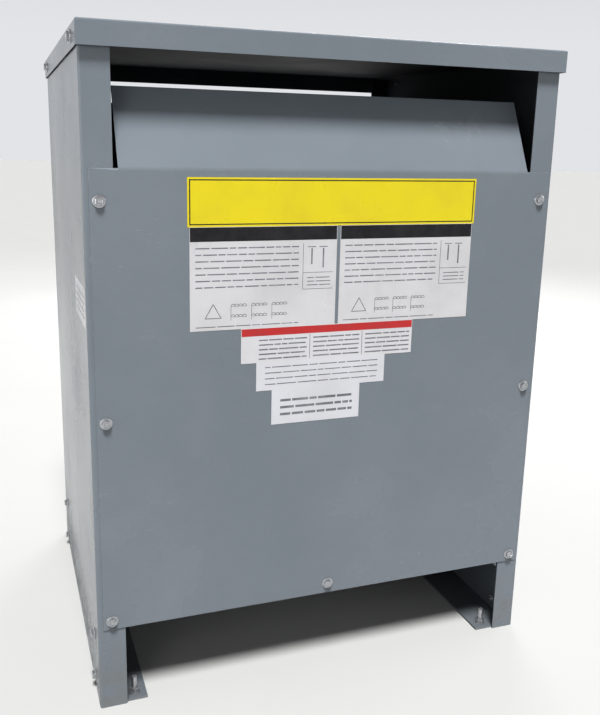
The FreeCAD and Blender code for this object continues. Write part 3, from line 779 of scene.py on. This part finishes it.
FORM_MARGIN = 9
FORM_LINE = 0.9
HEADER_INSET = 0.6
HEADER_HEIGHT = 22.0
COLUMN_SHARE = 0.76
TEXT_LINES, TEXT_TOP, TEXT_PITCH, TEXT_LINE, TEXT_MARGINS = 7, 10, 10.2, 1.9, 16
COLUMN_TOP, COLUMN_HEIGHT, COLUMN_ROWS, COLUMN_MARGIN = 6, 74, (53, 80), 6
TALLY_LEFTS, TALLY_TOP, TALLY_BAR = (8, 28), 11, (14, 1.4)
STEM_LEFT, STEM_DROP, STEM_WIDTH, STEM_HEIGHTS = 6, 3, 2.6, (26, 32)
NOTE_LINES, NOTE_TOP, NOTE_PITCH, NOTE_LINE = 3, 61, 6, 1.5
NOTE_LEFT, NOTE_MARGINS = 8, 18
DIAGRAM_RISE = 42
TRIANGLE_LEFT, TRIANGLE_SIDE, TRIANGLE_LINE = 24.0, 26.0, 1.3
WINDING_LEFTS, WINDING_DROPS = (66, 100, 134), (4, 21)
FOOTNOTE_RISE, FOOTNOTE_SHARE, FOOTNOTE_LINE = 6.5, 0.7, 1.4


def data_print(node):
    """A black header over a blank form with a plain winding diagram."""
    plate = Print(node, FORWARD)
    chance = random.Random(node)
    wide, tall = plate.width, plate.height
    plate.bar(HEADER_INSET, HEADER_INSET, wide - 2 * HEADER_INSET, HEADER_HEIGHT, BLACK)
    column = wide * COLUMN_SHARE
    for line in range(TEXT_LINES):
        y = HEADER_HEIGHT + TEXT_TOP + line * TEXT_PITCH
        plate.rule(FORM_MARGIN, y, column - TEXT_MARGINS, TEXT_LINE, GREY, chance)
    plate.bar(column, HEADER_HEIGHT + COLUMN_TOP, FORM_LINE, COLUMN_HEIGHT, GREY)
    for row in COLUMN_ROWS:
        reach = wide - column - COLUMN_MARGIN
        plate.bar(column, HEADER_HEIGHT + row, reach, FORM_LINE, GREY)
    for left, stem in zip(TALLY_LEFTS, STEM_HEIGHTS):
        x, y = column + left, HEADER_HEIGHT + TALLY_TOP
        plate.bar(x, y, *TALLY_BAR, GREY)
        plate.bar(x + STEM_LEFT, y + STEM_DROP, STEM_WIDTH, stem, GREY)
    for line in range(NOTE_LINES):
        y = HEADER_HEIGHT + NOTE_TOP + line * NOTE_PITCH
        reach = wide - column - NOTE_MARGINS
        plate.rule(column + NOTE_LEFT, y, reach, NOTE_LINE, GREY, chance)
    top = tall - DIAGRAM_RISE
    left, right = TRIANGLE_LEFT, TRIANGLE_LEFT + TRIANGLE_SIDE
    bottom = top + TRIANGLE_SIDE * math.sqrt(3) / 2
    corners = [(left, bottom), (right, bottom), ((left + right) / 2, top)]
    for start, end in zip(corners, corners[1:] + corners[:1]):
        plate.stroke(start, end, TRIANGLE_LINE, GREY)
    for left in WINDING_LEFTS:
        for drop in WINDING_DROPS:
            winding_symbol(plate, left, top + drop)
        start, end = (left, top + WINDING_DROPS[0]), (left, top + WINDING_FEET)
        plate.stroke(start, end, WINDING_LINE, GREY)
    footnote = tall - FOOTNOTE_RISE
    plate.rule(FORM_MARGIN, footnote, wide * FOOTNOTE_SHARE, FOOTNOTE_LINE, GREY, chance)
    plate.finish()


BAND_INSET = 0.8
BAND_HEIGHT = 12.5
FIELDS = 3
FIELDS_LEFT = 24.0
FIELD_LINES, FIELD_TOP, FIELD_PITCH, FIELD_LINE, FIELD_GAP = 5, 7.0, 7.8, 2.3, 2.0
FIELD_MARGIN, FIELD_MARGINS = 6, 11
DIVIDER, DIVIDER_MARGIN = 1.0, 2


def strip_print():
    """A plain red band over three blank ruled fields."""
    plate = Print("strip_label", FORWARD)
    chance = random.Random(3)
    field = (plate.width - FIELDS_LEFT) / FIELDS
    plate.bar(BAND_INSET, BAND_INSET, plate.width - 2 * BAND_INSET, BAND_HEIGHT, RED)
    for number in range(FIELDS):
        left = FIELDS_LEFT + field * number
        if number:
            top = BAND_HEIGHT + DIVIDER_MARGIN
            tall = plate.height - top - DIVIDER_MARGIN
            plate.bar(left - DIVIDER / 2, top, DIVIDER, tall, GREY)
        for line in range(FIELD_LINES):
            y = BAND_HEIGHT + FIELD_TOP + line * FIELD_PITCH
            reach = field - FIELD_MARGINS
            plate.rule(left + FIELD_MARGIN, y, reach, FIELD_LINE, GREY, chance, FIELD_GAP)
    plate.finish()


STICKER_LEFT = 15
STICKER_MARGINS = 28


def sticker_print(node, outward, lines, top, pitch, line):
    """Blank ruled lines on a white sticker: how many, the first's height, pitch, thickness."""
    plate = Print(node, outward)
    chance = random.Random(node)
    for number in range(lines):
        y = top + pitch * number
        plate.rule(STICKER_LEFT, y, plate.width - STICKER_MARGINS, line, GREY, chance)
    plate.finish()


title_print()
data_print("left_data_plate")
data_print("right_data_plate")
strip_print()
sticker_print("note_label", FORWARD, 4, 8.0, 9.6, 1.7)
sticker_print("slip_label", FORWARD, 3, 17.0, 12.0, 4.2)
sticker_print("side_label", LEFTWARD, 4, 12.0, 11.0, 2.0)


# ---------------------------------------------------------------- stage

FLOOR_RADIUS = 40.0
FLOOR_DEEP = (0.285, 0.285, 0.28)
FLOOR_PALE = (0.300, 0.300, 0.295)

# The room's glow fades from the walls to the ceiling between two heights of view.
ROOM_WHITE = (0.95, 0.97, 1.0, 1.0)
WALL_END, CEILING_START = 0.10, 0.50
WALL_GLOW, CEILING_GLOW = 0.80, 0.20


def stage():
    """A plain pale floor in a pale room whose walls glow more than its ceiling."""
    floor_mesh = bpy.data.meshes.new("floor")
    shape = bmesh.new()
    bmesh.ops.create_circle(shape, cap_ends=True, segments=96, radius=FLOOR_RADIUS)
    shape.to_mesh(floor_mesh)
    shape.free()
    floor = bpy.data.objects.new("floor", floor_mesh)
    bpy.context.collection.objects.link(floor)
    s = Shader("pale_floor")
    tone = s.blend(s.noise(3.0, 4.0), FLOOR_DEEP, FLOOR_PALE)
    floor_mesh.materials.append(s.set(colour=tone, roughness=0.85, specular=0.1))

    world = bpy.data.worlds.new("studio")
    world.use_nodes = True
    nodes = world.node_tree.nodes
    links = world.node_tree.links
    sky = nodes["Background"]
    sky.inputs["Color"].default_value = ROOM_WHITE
    place = nodes.new("ShaderNodeTexCoord")
    split = nodes.new("ShaderNodeSeparateXYZ")
    fade = nodes.new("ShaderNodeMapRange")
    fade.interpolation_type = "SMOOTHSTEP"
    fade_ends = (WALL_END, CEILING_START, WALL_GLOW, CEILING_GLOW)
    for socket, amount in zip(fade.inputs[1:], fade_ends):
        socket.default_value = amount
    links.new(place.outputs["Generated"], split.inputs[0])
    links.new(split.outputs["Z"], fade.inputs[0])
    links.new(fade.outputs[0], sky.inputs["Strength"])
    bpy.context.scene.world = world


def hung_lamp(name, light, beam):
    """Hang a light so that it shines along a beam."""
    lamp = bpy.data.objects.new(name, light)
    lamp.rotation_euler = beam.to_track_quat("-Z", "Y").to_euler()
    bpy.context.collection.objects.link(lamp)
    return lamp


def softbox(name, place, aim, width, height, watts):
    """A soft panel that lights the object, and that the camera doesn't see."""
    light = bpy.data.lights.new(name, "AREA")
    light.shape = "RECTANGLE"
    light.size = width
    light.size_y = height
    light.energy = watts
    lamp = hung_lamp(name, light, Vector(aim) - Vector(place))
    lamp.location = place
    lamp.visible_camera = False


KEY_BEAM = Vector((0.10, 0.39, -0.92))
KEY_STRENGTH = 8.6
KEY_SPREAD = math.radians(15)


def key_light():
    """High, broad light from the front, left out of reflections so that it can't flare."""
    light = bpy.data.lights.new("key", "SUN")
    light.energy = KEY_STRENGTH
    light.angle = KEY_SPREAD
    hung_lamp("key", light, KEY_BEAM).visible_glossy = False


# Name, place, what it aims at, width, height and power, in metres and watts.
SOFTBOXES = (
    ("left", (-3.6, -0.5, 1.1), (0, 0, 0.6), 2.0, 1.6, 26),
    ("front", (-1.7, -2.3, 1.6), (-0.3, 0, 0.6), 0.9, 0.9, 9),
    ("right", (3.5, 0.5, 1.9), (0, 0, 0.6), 2.0, 1.6, 46),
    ("rear", (1.9, 3.4, 2.6), (0, 0, 0.6), 2.0, 1.6, 110),
    ("rear_low", (1.3, 3.2, 0.5), (0, 0, 0.1), 2.2, 0.7, 26),
)

stage()
key_light()
for row in SOFTBOXES:
    softbox(*row)


# ---------------------------------------------------------------- camera

# The photo's view, solved from the enclosure's edges; angles are in degrees.
SENSOR_WIDTH = 36.0
FOCAL_LENGTH_IN_LONG_SIDES = 1.1368
SHIFT = (0.0157, -0.0375)
EYE = Vector((-0.520, -1.551, 0.926))
TURN_TO_RIGHT = 19.76
LOOK_DOWN = 12.83
ROLL = 1.16


def turned(degrees, axis):
    return Matrix.Rotation(math.radians(degrees), 4, axis)


def camera():
    """The camera at the photo's viewing angle."""
    data = bpy.data.cameras.new("camera")
    data.sensor_fit = "AUTO"
    data.sensor_width = SENSOR_WIDTH
    data.lens = FOCAL_LENGTH_IN_LONG_SIDES * SENSOR_WIDTH
    data.shift_x, data.shift_y = SHIFT
    eye = bpy.data.objects.new("camera", data)
    turn = turned(-TURN_TO_RIGHT, "Z")
    tilt = turned(90.0 - LOOK_DOWN, "X")
    roll = turned(ROLL, "Z")
    eye.matrix_world = Matrix.Translation(EYE) @ turn @ tilt @ roll
    bpy.context.collection.objects.link(eye)
    bpy.context.scene.camera = eye
    bpy.context.scene.view_settings.view_transform = "Standard"


camera()
